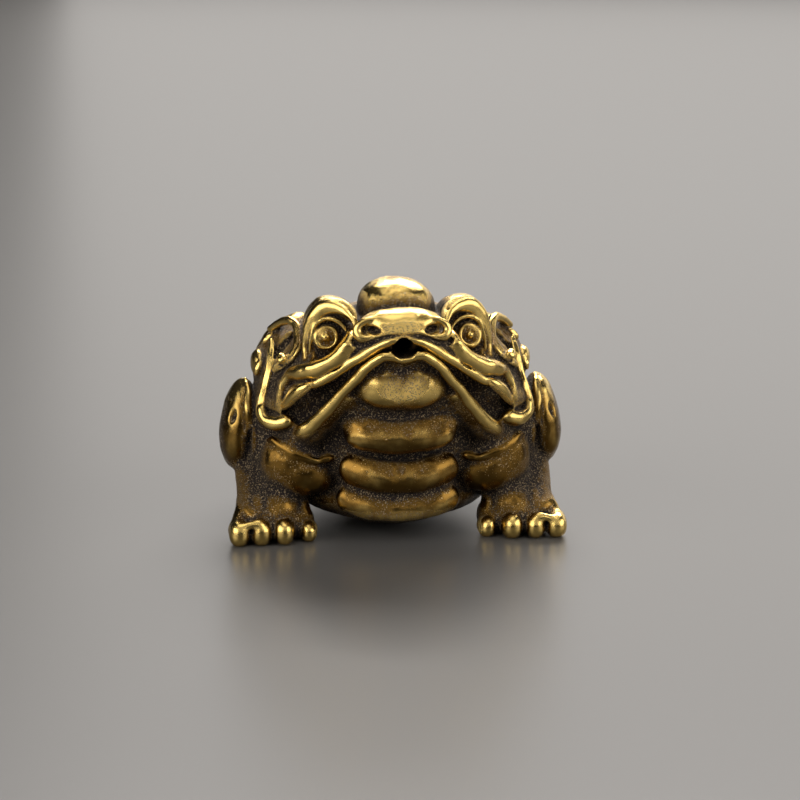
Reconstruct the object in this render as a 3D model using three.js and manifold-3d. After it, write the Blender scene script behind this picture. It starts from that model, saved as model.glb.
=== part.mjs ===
// A money toad: a squat, big-mouthed toad with three legs, cast in brass as one solid piece.
// Millimetres, +Z up. The toad looks along -Y and stands on the plane z = 0, with the origin
// under the middle of it. Its skin is a union of rounded masses, raised cords and dished warts,
// with the mouth, eye sockets, nostrils and throat grooves cut in.
import * as THREE from "three";
import { mergeVertices } from "three/addons/utils/BufferGeometryUtils.js";
import Module from "manifold-3d";

const wasm = await Module();
wasm.setup();

// Driving dimensions of the casting.
const HEIGHT = 25; // floor to the top of the crown
const MOUTH_BORE = 1.9; // diameter of the hole through the lips
const MOUTH_BORE_DEPTH = 9; // from the front of the lips to the blind end
const GAPE_DEPTH = 2; // how far the open mouth is sunk behind the lips
const LIP_THICKNESS = 0.86;
const EYE_DIAMETER = 2.5;
const SOLE_INSET = 0.14; // how much the flat sole takes off the bottom of each toe

// The pose and the carving are shares of the height: one step is a 25th of it.
const STEPS_IN_HEIGHT = 25;
const step = HEIGHT / STEPS_IN_HEIGHT;
const FRONT = new THREE.Vector3(0, -1, 0);
const UP = new THREE.Vector3(0, 0, 1);

// Masses that the carving lies on: centre and radii, in steps.
const TRUNK = { centre: [0, 2.9, 10.5], radii: [13.3, 13.8, 9.6] };
const TRUNK_SLOPE = [-10, 0, 0]; // the back falls towards the tail end, in degrees
const HEAD = { centre: [0, -5, 14.9], radii: [12.9, 9.4, 7.2] };
const MUZZLE = { centre: [0, -8.1, 18.1], radii: [8.3, 8.1, 4.1] };
const JOWL = { centre: [8.2, -6.8, 12.6], radii: [5.0, 5.2, 4.0] };
const CHEST = { centre: [0, -6.6, 8.6], radii: [8.6, 5.7, 4.4] };

const vector = ([x, y, z]) => new THREE.Vector3(x, y, z);
const turned = (degrees) => new THREE.Euler(...degrees.map(THREE.MathUtils.degToRad));

// The point of the trunk in the direction of longitude and latitude, in degrees, and the normal
// there. Longitude 0 is the side towards +X and 90 is the tail end.
function onTrunk(longitude, latitude) {
  const { centre, radii } = TRUNK;
  const unit = FRONT.clone()
    .applyAxisAngle(new THREE.Vector3(-1, 0, 0), THREE.MathUtils.degToRad(latitude))
    .applyAxisAngle(UP, THREE.MathUtils.degToRad(longitude + 90));
  const slope = turned(TRUNK_SLOPE);
  const point = unit.clone().multiply(vector(radii)).applyEuler(slope).add(vector(centre));
  return { point, normal: unit.divide(vector(radii)).applyEuler(slope).normalize() };
}

// A closed three.js geometry with only positions, shared at its seams, each moved by place().
function sculpt(geometry, place) {
  geometry.deleteAttribute("normal");
  geometry.deleteAttribute("uv");
  const shape = mergeVertices(geometry);
  const { position } = shape.attributes;
  const point = new THREE.Vector3();
  for (let i = 0; i < position.count; i++) {
    point.fromBufferAttribute(position, i);
    position.setXYZ(i, ...place(point).multiplyScalar(step));
  }
  return shape;
}

// A rounded mass: an ellipsoid, or a pillow with squarer sides where squareness is under 1.
function mass({ centre, radii }, { squareness = 1, turn = [0, 0, 0], sides = 12, rings = 7 } = {}) {
  const full = (share) => Math.sign(share) * Math.abs(share) ** squareness;
  return sculpt(new THREE.SphereGeometry(1, sides, rings).rotateX(Math.PI / 2), ({ x, y, z }) =>
    new THREE.Vector3(full(x), full(y), full(z))
      .multiply(vector(radii))
      .applyEuler(turned(turn))
      .add(vector(centre)),
  );
}

// A cord of changing thickness with round ends: a sphere drawn out along a smooth curve through
// the stations [x, y, z, radius]. One edge of it looks towards face.
function cord(stations, { sides = 5, rings = 8, face = FRONT } = {}) {
  const curve = new THREE.CatmullRomCurve3(stations.map(vector));
  const length = curve.getLength();
  const radiusAt = (share) => {
    const place = share * (stations.length - 1);
    const from = Math.min(Math.floor(place), stations.length - 2);
    return THREE.MathUtils.lerp(stations[from][3], stations[from + 1][3], place - from);
  };
  return sculpt(new THREE.SphereGeometry(1, sides, rings), ({ x, y, z }) => {
    const share = THREE.MathUtils.clamp((1 - y) / 2, 0, 1);
    const tangent = curve.getTangent(share);
    const across = new THREE.Vector3().crossVectors(tangent, face).normalize();
    const out = new THREE.Vector3().crossVectors(across, tangent);
    const full = radiusAt(share);
    const toEnd = Math.min(share, 1 - share) * length;
    const radius = full * Math.sqrt(1 - Math.max(0, 1 - toEnd / full) ** 2);
    const ring = Math.hypot(x, z) || 1;
    return curve
      .getPoint(share)
      .addScaledVector(across, (x / ring) * radius)
      .addScaledVector(out, (z / ring) * radius);
  });
}

// A wart on the skin at point, facing along normal: a button turned about its own axis, with a
// round rim and a dished middle. Its profile goes [out, up] from the root to the middle.
const WART_PROFILE = [
  [0, -0.9],
  [1.1, -0.8],
  [0.86, 0.32],
  [0.5, 0.36],
  [0, 0.02],
];
const WART_SIDES = 6;
function wart(point, normal, radius, tall = 1) {
  const turn = new THREE.Quaternion().setFromUnitVectors(UP, normal);
  const profile = WART_PROFILE.map(([out, up]) => new THREE.Vector2(out, up));
  return sculpt(new THREE.LatheGeometry(profile, WART_SIDES).rotateX(Math.PI / 2), ({ x, y, z }) =>
    new THREE.Vector3(x, y * tall, z).multiplyScalar(radius).applyQuaternion(turn).add(point),
  );
}

const mirrored = (geometry) => geometry.clone().scale(-1, 1, 1);

// The manifold-3d solid of a closed geometry, with its faces turned to point out.
function solidOf(geometry) {
  const points = geometry.attributes.position.array;
  const triangles = new Uint32Array(geometry.index.array);
  const corner = (i) => new THREE.Vector3().fromArray(points, 3 * triangles[i]);
  let volume = 0;
  for (let i = 0; i < triangles.length; i += 3)
    volume += corner(i).dot(corner(i + 1).cross(corner(i + 2)));
  if (volume < 0)
    for (let i = 0; i < triangles.length; i += 3)
      [triangles[i + 1], triangles[i + 2]] = [triangles[i + 2], triangles[i + 1]];
  return new wasm.Manifold(
    new wasm.Mesh({ numProp: 3, vertProperties: new Float32Array(points), triVerts: triangles }),
  );
}

const join = (geometries) => geometries.map(solidOf).reduce((all, one) => all.add(one));
const pairs = (geometries) => [...geometries, ...geometries.map(mirrored)];

// The arms: an upper arm like an upright pillow against the flank, and a broad forearm that comes
// forward and down to the hand.
const FLANK = { centre: [12.0, -3.6, 8.6], radii: [2.7, 5.2, 6.2] };
const UPPER_ARM = { centre: [14.95, -4.3, 10.0], radii: [1.85, 3.25, 4.45] };
const arms = [
  mass(FLANK, { sides: 8, rings: 6 }),
  mass(UPPER_ARM, { turn: [0, -6, 0], sides: 10, rings: 7 }),
  cord(
    [
      [14.2, -3.9, 8.0, 1.3],
      [14.0, -6.0, 5.6, 1.4],
      [13.9, -8.2, 3.8, 1.4],
      [14.0, -10.2, 2.4, 1.25],
    ],
    { face: UP, sides: 6, rings: 5 },
  ),
  cord(
    [
      [12.0, -4.6, 6.8, 1.7],
      [11.7, -7.2, 4.6, 2.1],
      [11.4, -9.4, 2.7, 2.2],
    ],
    { face: UP, sides: 6, rings: 5 },
  ),
];

// The hands: a rounded palm, flat below, with four fingers spread like a fan. A finger runs from
// its knuckle down to a round tip, swells to the knuckle's thickness and ends in the tip's radius.
const PALM = { centre: [12.1, -8.6, 1.6], radii: [3.6, 3.4, 1.9] };
const FINGERS = [
  { knuckle: [14.6, -9.0, 3.0], swell: 0.75, tip: [15.2, -12.3], radius: 1.05 },
  { knuckle: [13.3, -9.8, 3.5], swell: 0.75, tip: [12.95, -12.1], radius: 0.95 },
  { knuckle: [11.0, -9.9, 3.5], swell: 0.8, tip: [10.95, -12.2], radius: 1.05 },
  { knuckle: [9.0, -9.2, 2.9], swell: 0.65, tip: [8.6, -11.3], radius: 0.8 },
];
function finger({ knuckle, swell, tip, radius }) {
  const height = radius - SOLE_INSET / step;
  const middle = vector([...tip, height]).lerp(vector(knuckle), 0.5).setZ(height + 1.1);
  return cord(
    [
      [...knuckle, swell],
      [...middle, radius * 0.85],
      [tip[0], tip[1] + radius * 0.3, height, radius],
      [tip[0], tip[1] - radius * 0.3, height, radius],
    ],
    { face: UP, sides: 6, rings: 6 },
  );
}
const hands = [mass(PALM, { squareness: 0.9, sides: 8, rings: 5 }), ...FINGERS.map(finger)];

// The shoulders: a leaf-shaped swelling behind each eye, with a raised outline on its front edge,
// and the breast: a round bulge low on each side, with a groove over it where the jaw hangs.
const SHOULDER = { centre: [10.5, -2.9, 16.9], radii: [2.4, 3.6, 4.0] };
const shoulders = [
  mass(SHOULDER, { turn: [0, -33, 0], sides: 8, rings: 6 }),
  cord(
    [
      [11.5, -4.3, 19.4, 0.35],
      [9.95, -6.2, 20.4, 0.5],
      [9.2, -7.8, 19.95, 0.55],
      [9.2, -9.0, 18.8, 0.55],
      [9.95, -9.7, 17.5, 0.5],
      [11.3, -9.1, 16.4, 0.35],
    ],
    { sides: 4, rings: 7 },
  ),
];
const BREAST = { centre: [9.5, -7.95, 7.2], radii: [3.5, 3.75, 3.4] };
const breasts = [mass(BREAST, { squareness: 0.87, turn: [0, 8, 12], sides: 12, rings: 7 })];
const throatGroove = cord(
  [
    [14.2, -8.4, 13.2, 0.9],
    [12.1, -11.4, 11.5, 1.45],
    [9.3, -13.2, 10.3, 1.45],
    [7.9, -13.7, 9.9, 1.3],
    [6.5, -13.9, 9.9, 0.9],
  ],
  { sides: 6, rings: 7 },
);

// The hind leg: one thick thigh under the tail end, with a three-toed foot flat on the floor.
const THIGH = { centre: [0, 10.2, 5.6], radii: [4.4, 4.8, 4.2] };
const HIND_FOOT = { centre: [0, 12.2, 1.8], radii: [3.0, 3.2, 2.1] };
const HIND_TOE_SPREAD = 2.9;
const HIND_TOE_RADIUS = 0.95;
const hindToe = (side) =>
  cord(
    [
      [side * HIND_TOE_SPREAD * 0.45, 12.2, 1.5, 0.9],
      [side * HIND_TOE_SPREAD * 0.8, 14.4, 1.4, 0.85],
      [side * HIND_TOE_SPREAD, 16.0, HIND_TOE_RADIUS - SOLE_INSET / step, HIND_TOE_RADIUS],
    ],
    { face: UP, sides: 6, rings: 6 },
  );
const hindLeg = [
  mass(THIGH, { sides: 10 }),
  mass(HIND_FOOT, { sides: 8, rings: 5 }),
  ...[-1, 0, 1].map(hindToe),
];

// The front: a chin pad over three folds, like rolls of fat, and the belly behind the folds.
// A fold bows round the front, and its ends rise and taper.
const FOLD_BOW = 3.2;
const FOLDS = [
  { height: 10.55, front: -15.1, reach: 5.2, rise: 1.2, thick: 1.5 },
  { height: 6.6, front: -14.5, reach: 5.5, rise: 0.2, thick: 1.5 },
  { height: 3.5, front: -13.7, reach: 5.8, rise: 0.4, thick: 1.35 },
];
function fold({ height, front, reach, rise, thick }) {
  const stations = [-1, -0.66, 0, 0.66, 1].map((share) => [
    share * reach,
    front + thick + FOLD_BOW * share ** 2,
    height + rise * share ** 2,
    thick,
  ]);
  return cord(stations, { sides: 8, rings: 8 });
}
const CHIN = { centre: [0, -12.7, 15.3], radii: [4.4, 3.1, 2.25] };
const BELLY = { centre: [0, -7, 4.6], radii: [6.6, 6.4, 3.7] };
const UNDERSIDE = { centre: [0, -3, 3.7], radii: [9.8, 8.6, 3.3] };
const front = [
  mass(CHIN, { squareness: 0.8, sides: 12, rings: 7 }),
  ...FOLDS.map(fold),
  mass(BELLY, { sides: 8, rings: 6 }),
  mass(UNDERSIDE, { sides: 12, rings: 6 }),
];

// The crown and the nose, and the eyes: each a ball in a socket sunk into a mound.
const CROWN = { centre: [0, -8.3, 22.35], radii: [3.7, 3.3, 2.65] };
const NOSE = { centre: [0, -13.2, 20.75], radii: [4.1, 3.0, 1.9] };
const NOSE_ROLL = { centre: [0, -14.3, 21.7], radii: [3.9, 1.6, 1.2] };
const EYE_MOUND = { centre: [6.3, -8.6, 20.2], radii: [2.6, 3.1, 3.1] };
const EYE_SOCKET = { centre: [6.55, -12.6, 19.7], radii: [2.1, 2.2, 2.6] };
const EYE = { centre: [6.7, -10.4, 19.6], radii: Array(3).fill(EYE_DIAMETER / 2 / step) };
const EYE_TILT = [0, -11, 0];
const crown = mass(CROWN, { squareness: 0.86, sides: 12, rings: 8 });
const nose = [
  mass(NOSE, { squareness: 0.92, sides: 12 }),
  mass(NOSE_ROLL, { sides: 12, rings: 5 }),
];
const eyeMounds = [mass(EYE_MOUND, { turn: EYE_TILT, sides: 10 })];
const eyeSockets = [mass(EYE_SOCKET, { squareness: 0.9, turn: EYE_TILT, sides: 10 })];
const eyes = [mass(EYE, { sides: 8, rings: 6 })];

// Over each eye a heavy brow that comes down on the outside, and inside it a thin upper lid.
const brows = [
  cord(
    [
      [4.4, -13.8, 20.8, 0.3],
      [4.5, -12.4, 21.8, 0.6],
      [5.6, -11.1, 22.55, 0.86],
      [6.5, -10.7, 22.6, 0.85],
      [7.6, -10.5, 22.0, 0.7],
      [8.4, -10.4, 20.6, 0.5],
      [8.65, -10.6, 18.6, 0.38],
      [8.6, -11.0, 17.8, 0.25],
    ],
    { rings: 9 },
  ),
  cord(
    [
      [8.3, -11.0, 18.2, 0.22],
      [8.1, -11.0, 20.1, 0.26],
      [7.3, -11.1, 21.3, 0.3],
      [6.0, -11.3, 21.4, 0.3],
      [5.0, -11.8, 20.5, 0.24],
    ],
    { sides: 4, rings: 6 },
  ),
];

// Round each nostril a curled wing, like a C lying open towards the middle.
const nostrilWings = [
  cord([
    [2.3, -15.5, 22.1, 0.4],
    [3.5, -15.0, 21.9, 0.44],
    [4.2, -14.6, 21.0, 0.46],
    [4.0, -15.0, 20.2, 0.44],
    [3.1, -15.6, 19.95, 0.34],
  ]),
];
const NOSTRIL = { centre: [2.75, -16.1, 21.05], radii: [1.0, 1.1, 0.5] };
const nostrils = [mass(NOSTRIL, { turn: [0, -8, 0], sides: 6, rings: 4 })];
const noseGroove = cord(
  [
    [-2.9, -16.2, 20.75, 0.3],
    [0, -16.9, 20.75, 0.4],
    [2.9, -16.2, 20.75, 0.3],
  ],
  { sides: 4, rings: 4 },
);

// The lips run from the middle to the corners of the mouth: stations [x, y, z, share], where share
// is the thickness there over LIP_THICKNESS. Each lies on a thicker roll, set back from it.
const UPPER_LIP = [
  [0, -16.5, 20.35, 0.65],
  [1.2, -16.3, 20.2, 0.95],
  [2.6, -15.8, 19.45, 1.1],
  [5.1, -14.75, 17.75, 1.1],
  [7.7, -13.5, 15.9, 1.05],
  [9.5, -12.9, 14.95, 1.25],
  [10.6, -11.4, 13.45, 0.9],
  [11.0, -10.5, 12.8, 0.5],
];
const LOWER_LIP = [
  [0, -16.65, 18.4, 0.7],
  [1.7, -16.5, 18.45, 0.95],
  [3.3, -15.9, 17.35, 1.0],
  [4.5, -15.2, 15.95, 1.0],
  [6.3, -14.0, 13.85, 1.3],
  [8.1, -12.5, 11.75, 1.7],
  [9.2, -11.5, 10.7, 1.75],
];
const lip = LIP_THICKNESS / 2 / step;
const acrossMouth = (line) => [
  ...line.slice(1).map(([x, ...rest]) => [-x, ...rest]).reverse(),
  ...line,
];
const lipCord = (line, rings, { back = 0, up = 0, more = 0 } = {}) =>
  cord(
    acrossMouth(line).map(([x, y, z, share]) => [x, y + back, z + up, lip * share + more]),
    { rings },
  );
const lips = [lipCord(UPPER_LIP, 14), lipCord(LOWER_LIP, 14)];
const lipRolls = [
  lipCord(UPPER_LIP, 9, { back: 1.35, up: 0.5, more: 0.95 }),
  lipCord(LOWER_LIP, 9, { back: 1.4, up: -0.5, more: 0.7 }),
];

// The groove under the middle of the lower lip, above the chin.
const chinGroove = lipCord(LOWER_LIP.slice(0, 4), 7, { back: 0.25, up: -1, more: 0.1 });

// The gape between the lips: a box drawn out along them to the corners, sunk GAPE_DEPTH behind the
// upper one.
const GAPE_END = 10.8;
const GAPE_SEGMENTS = 12;
const UPPER_CORNER = [10.9, -9.4, 13.0];
const LOWER_CORNER = [10.9, -9.4, 12.3];
function placeOn(line, x) {
  const i = Math.max(1, line.findIndex(([end]) => end >= x));
  const [from, to] = [line[i - 1], line[i]];
  return [1, 2].map((axis) => THREE.MathUtils.mapLinear(x, from[0], to[0], from[axis], to[axis]));
}
const gape = sculpt(new THREE.BoxGeometry(2, 2, 2, GAPE_SEGMENTS, 1, 1), ({ x, y, z }) => {
  const reach = Math.abs(x) * GAPE_END;
  const [front, top] = placeOn([...UPPER_LIP.slice(0, 6), UPPER_CORNER], reach);
  const [, bottom] = placeOn([...LOWER_LIP.slice(0, 6), LOWER_CORNER], reach);
  return new THREE.Vector3(x * GAPE_END, front + (y > 0 ? GAPE_DEPTH / step : -3), z > 0 ? top : bottom);
});

// Cheeks: a knobbly band under the eye down to the corner of the mouth, and outside it a thin
// whisker that hooks forward at its lower end.
const cheeks = [
  cord(
    [
      [4.4, -13.4, 20.6, 0.25],
      [5.2, -14.75, 19.2, 0.62],
      [6.8, -14.2, 17.75, 0.62],
      [8.3, -13.3, 17.0, 0.68],
      [9.6, -11.9, 16.5, 0.58],
      [10.8, -10.5, 15.1, 0.42],
      [11.35, -10.5, 13.4, 0.25],
    ],
    { rings: 9 },
  ),
  cord(
    [
      [11.5, -6.1, 18.6, 0.35],
      [11.7, -7.5, 17.0, 0.55],
      [12.2, -8.3, 14.7, 0.6],
      [12.45, -8.4, 13.5, 0.65],
      [12.5, -9.1, 12.0, 0.7],
      [12.0, -10.0, 11.5, 0.7],
      [10.7, -10.9, 11.65, 0.62],
    ],
    { rings: 10 },
  ),
];

// Warts in two rows round the back, and singly on the shoulders and arms, and a knobbed spine.
const BACK_ROWS = [
  { latitude: 56, longitudes: [24, 62], radius: 1.15 },
  { latitude: 30, longitudes: [18, 54], radius: 1.3 },
];
const backWarts = BACK_ROWS.flatMap(({ latitude, longitudes, radius }) =>
  longitudes.map((longitude) => {
    const { point, normal } = onTrunk(longitude, latitude);
    return wart(point, normal, radius);
  }),
);
const skinWarts = [
  { point: [10.4, -5.55, 18.9], normal: [0.1, -0.9, 0.4], radius: 0.62 },
  { point: [12.2, -4.9, 17.9], normal: [0.5, -0.75, 0.35], radius: 0.58 },
  { point: [12.9, -4.7, 15.4], normal: [0.6, -0.75, 0], radius: 0.6 },
  { point: [15.7, -6.75, 11.5], normal: [0.5, -0.85, 0.1], radius: 0.75, tall: 1.3 },
  { point: [16.55, -3.4, 9.4], normal: [1, -0.05, -0.05], radius: 0.9 },
].map(({ point, normal, radius, tall }) =>
  wart(vector(point), vector(normal).normalize(), radius, tall),
);
const SPINE_KNOBS = 6;
const SPINE_TOP = 84; // latitude of the first knob
const SPINE_PITCH = 12;
const spine = Array.from({ length: SPINE_KNOBS }, (_, i) => {
  const latitude = SPINE_TOP - i * SPINE_PITCH;
  const { point } = onTrunk(90, latitude);
  const size = 1.25 - 0.06 * i;
  return mass(
    { centre: point.toArray(), radii: [size, size * 0.95, size * 0.7] },
    { turn: [latitude - 90 + TRUNK_SLOPE[0], 0, 0], sides: 6, rings: 4 },
  );
});

// The floor, a cube whose top is the plane z = 0, cuts the flat soles. The bore runs straight back
// from the lips.
const FLOOR = 3 * STEPS_IN_HEIGHT;
const LIPS_FRONT = [0, -17, 19.55];
const floor = sculpt(new THREE.BoxGeometry(FLOOR, FLOOR, FLOOR), (point) =>
  point.addScaledVector(UP, -FLOOR / 2),
);
const boreRadius = MOUTH_BORE / 2 / step;
const mouthBore = sculpt(
  new THREE.CylinderGeometry(boreRadius, boreRadius, (2 * MOUTH_BORE_DEPTH) / step, 16),
  (point) => point.add(vector(LIPS_FRONT)),
);

const masses = join([
  mass(TRUNK, { turn: TRUNK_SLOPE, sides: 18, rings: 10 }),
  ...[HEAD, MUZZLE].map((form) => mass(form, { sides: 16, rings: 9 })),
  mass(CHEST, { squareness: 0.85, sides: 10, rings: 6 }),
  ...lipRolls,
  ...pairs([mass(JOWL, { sides: 10, rings: 6 }), ...breasts, ...shoulders, ...arms, ...eyeMounds]),
]);
const hollows = join([gape, chinGroove, ...pairs([throatGroove, ...eyeSockets])]);
const carving = join([
  crown,
  ...nose,
  ...lips,
  ...front,
  ...hindLeg,
  ...spine,
  ...pairs([...eyes, ...brows, ...nostrilWings, ...cheeks, ...hands, ...skinWarts, ...backWarts]),
]);
const piercings = join([noseGroove, ...pairs(nostrils), mouthBore, floor]);

const toadSolid = masses.subtract(hollows).add(carving).subtract(piercings);
const { vertProperties, triVerts } = toadSolid.getMesh();
const skin = new THREE.BufferGeometry();
skin.setAttribute("position", new THREE.BufferAttribute(vertProperties, 3));
skin.setIndex(new THREE.BufferAttribute(triVerts, 1));
skin.computeVertexNormals();

const brass = new THREE.MeshStandardMaterial({ color: 0xa8823a, roughness: 0.35, metalness: 1 });
const toad = new THREE.Mesh(skin, brass);
toad.name = "toad";

const part = new THREE.Group();
part.add(toad);
export default part;
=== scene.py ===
import bpy
import numpy as np
import openvdb
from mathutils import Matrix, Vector


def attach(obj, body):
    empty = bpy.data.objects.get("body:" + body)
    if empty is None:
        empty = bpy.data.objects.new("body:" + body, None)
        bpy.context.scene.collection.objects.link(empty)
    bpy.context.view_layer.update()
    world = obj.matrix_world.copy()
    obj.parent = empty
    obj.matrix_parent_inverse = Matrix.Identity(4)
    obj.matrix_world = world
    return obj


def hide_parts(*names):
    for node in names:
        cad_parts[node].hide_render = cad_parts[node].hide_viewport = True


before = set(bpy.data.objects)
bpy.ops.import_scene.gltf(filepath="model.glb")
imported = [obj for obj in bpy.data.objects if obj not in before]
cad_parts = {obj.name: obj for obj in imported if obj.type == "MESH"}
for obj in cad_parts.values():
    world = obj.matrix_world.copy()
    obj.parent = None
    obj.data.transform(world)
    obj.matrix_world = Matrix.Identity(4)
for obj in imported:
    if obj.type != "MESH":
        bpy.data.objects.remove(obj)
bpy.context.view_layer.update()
MM = 0.001  # the figure is carved in millimetres and cast, at the end, in metres


# Wax block. The toad is one brass casting. Its wax is a field of distances, in millimetres, on a
# grid: below nought inside the toad, above it outside. Both halves of the toad are alike, so only
# the half towards +X is carved.
PITCH = 0.125
LOW = np.array([0.0, -18.0, -1.0])
HIGH = np.array([18.0, 18.0, 26.0])
CELLS = np.round((HIGH - LOW) / PITCH).astype(int) + 1
AXES = [LOW[i] + PITCH * np.arange(CELLS[i], dtype=np.float32) for i in range(3)]
FAR = 3.0  # the distance that stands for any greater one
wax = np.full(CELLS, FAR, np.float32)
soot_and_shade = np.zeros(CELLS, np.float32)  # how black the brass is painted, from 0 to 1: patina, sand marks, and painted shade under the belly


def window(low, high, reach):
    """The block of the grid between two corners, grown by reach: its slices, and its x, y and z
    to be combined."""
    first = np.clip(np.floor((np.asarray(low) - reach - LOW) / PITCH).astype(int), 0, CELLS - 1)
    last = np.clip(np.ceil((np.asarray(high) + reach - LOW) / PITCH).astype(int) + 1, first + 1, CELLS)
    part = tuple(slice(a, b) for a, b in zip(first, last))
    x, y, z = (axis[s] for axis, s in zip(AXES, part))
    return part, x[:, None, None], y[None, :, None], z[None, None, :]


# Body. The round trunk falls away towards the tail end, and the broad flat head lies over it,
# with the muzzle in front. They are cast in one with everything after them.
LUMP_REACH = 1.3  # how far past a lump its distances are worked out
TINY = 1e-6  # keeps a division from nought


def put(part, form, soft):
    """Adds a form's distances to the wax. Where both are within soft of each other the lesser is
    lowered by a quarter of soft times the square of their closeness, which fillets the joint."""
    near = np.maximum(soft - np.abs(wax[part] - form), 0) ** 2 / (4 * soft)
    wax[part] = np.minimum(wax[part], form) - near


def turning(degrees):
    """The matrix of turns about x, then y, then z."""
    a, b, c = np.radians(degrees)
    about_x = np.array([[1, 0, 0], [0, np.cos(a), -np.sin(a)], [0, np.sin(a), np.cos(a)]])
    about_y = np.array([[np.cos(b), 0, np.sin(b)], [0, 1, 0], [-np.sin(b), 0, np.cos(b)]])
    about_z = np.array([[np.cos(c), -np.sin(c), 0], [np.sin(c), np.cos(c), 0], [0, 0, 1]])
    return about_z @ about_y @ about_x


def lump(centre, radii, turn=(0, 0, 0), square=2.0):
    """A rounded lump: the sum of its three coordinates over its radii, each to the power square,
    taken to the root of that power, less 1, over the length of that quantity's slope. A square
    above 2 makes it boxier."""
    matrix = turning(turn)
    spread = np.abs(matrix) @ np.asarray(radii, float)
    part, x, y, z = window(np.asarray(centre) - spread, np.asarray(centre) + spread, LUMP_REACH)
    x, y, z = x - centre[0], y - centre[1], z - centre[2]
    own = [np.abs(matrix[0, i] * x + matrix[1, i] * y + matrix[2, i] * z) / radii[i] for i in range(3)]
    size = sum(a**square for a in own)
    root = np.maximum(size, TINY) ** (1 / square)
    slope = np.sqrt(sum((a ** (square - 1) / r) ** 2 for a, r in zip(own, radii)))
    slope = slope * root ** (1 - square) + TINY
    return part, ((root - 1) / slope).astype(np.float32)


TRUNK = dict(centre=(0, 2.9, 10.5), radii=(13.3, 13.8, 9.6), turn=(-10, 0, 0))
HEAD = dict(centre=(0, -5, 14.9), radii=(12.9, 9.4, 7.2))
MUZZLE = dict(centre=(0, -8.1, 18.1), radii=(8.3, 8.1, 4.1))
JOWL = dict(centre=(8.2, -6.8, 12.6), radii=(5.0, 5.2, 4.0))
FLANK = dict(centre=(12, -3.6, 8.6), radii=(2.7, 5.2, 6.2))
BELLY = dict(centre=(0, -7, 4.6), radii=(6.6, 6.4, 3.7))
CHEST = dict(centre=(0, -6.6, 8.6), radii=(8.6, 5.7, 4.4), square=2.4)
UNDERSIDE = dict(centre=(0, -3, 3.7), radii=(9.8, 8.6, 3.3))
put(*lump(**TRUNK), soft=0.5)
put(*lump(**HEAD), soft=1.0)
put(*lump(**MUZZLE), soft=1.0)
put(*lump(**JOWL), soft=0.8)
put(*lump(**FLANK), soft=0.8)
put(*lump(**BELLY), soft=0.8)
put(*lump(**CHEST), soft=0.6)
put(*lump(**UNDERSIDE), soft=0.8)

# Shoulders and neck. Behind each eye lies a leaf-shaped swelling: a thin raised outline, a sunk
# field, and almond warts on it. A second leaf shows behind its tip, and a lobe below it. They are
# carved into the same wax.
CORD_REACH = 0.7  # how far past a cord its distances are worked out
STEPS = 8  # stretches of a smooth path from one station to the next
THINNEST = 0.02  # the least radius of a cord
EVENED = 7  # points of a laid path over which its depth is evened out


def take(part, form, soft):
    """Cuts a form out of the wax, with the cut's edge rounded as put() fillets a joint."""
    near = np.maximum(soft - np.abs(wax[part] + form), 0) ** 2 / (4 * soft)
    wax[part] = np.maximum(wax[part], -form) + near


def tarnish_and_shade(part, form, fade, most=1.0):
    """Blackens the brass inside a form by most, and less and less out to a distance of fade: patina in the
    hollows, lighter marks where sand stays, and painted shade under the belly.
    """
    soot_and_shade[part] = np.maximum(soot_and_shade[part], most * np.clip(1 - form / fade, 0, 1))


def smooth_path(stations, steps=STEPS):
    """The stations joined by a Catmull-Rom curve: between two of them each coordinate, and the
    thickness after it, is the cubic that leaves and arrives parallel to its neighbours' chord."""
    p = np.asarray(stations, float)
    p = np.vstack([2 * p[0] - p[1], p, 2 * p[-1] - p[-2]])
    t = np.linspace(0, 1, steps, endpoint=False)[:, None, None]
    a, b, c, d = p[None, :-3], p[None, 1:-2], p[None, 2:-1], p[None, 3:]
    squared = 2 * a - 5 * b + 4 * c - d
    cubed = 3 * b - a - 3 * c + d
    curve = 0.5 * (2 * b + (c - a) * t + squared * t**2 + cubed * t**3)
    curve = curve.transpose(1, 0, 2).reshape(-1, p.shape[1])
    return np.vstack([curve, p[-2]])


def cord(stations, flat=1.0, steps=STEPS):
    """A cord through stations [x, y, z, thickness]: the distance to the nearest stretch of its
    path, less half the thickness there. A flat under 1 presses it from the front to that share of
    its depth, and a path that is smooth already takes 1 step."""
    path = smooth_path(stations, steps)
    path[:, 3] = np.maximum(path[:, 3] / 2, THINNEST)
    half = path[:, 3].max()
    part, x, y, z = window(path[:, :3].min(0) - half, path[:, :3].max(0) + half, CORD_REACH)
    form = np.full(wax[part].shape, FAR, np.float32)
    start = np.array([s.start for s in part])
    for a, b in zip(path[:-1], path[1:]):
        near, u, v, w = window(np.minimum(a, b)[:3] - half, np.maximum(a, b)[:3] + half, CORD_REACH)
        own = tuple(slice(s.start - o, s.stop - o) for s, o in zip(near, start))
        run = (b - a)[:3] / (1, flat, 1)
        u, v, w = u - a[0], (v - a[1]) / flat, w - a[2]
        share = np.clip((u * run[0] + v * run[1] + w * run[2]) / max(run @ run, TINY), 0, 1)
        gap = np.sqrt((u - share * run[0]) ** 2 + (v - share * run[1]) ** 2 + (w - share * run[2]) ** 2)
        form[own] = np.minimum(form[own], gap - (a[3] + share * (b[3] - a[3])))
    return part, form


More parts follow.
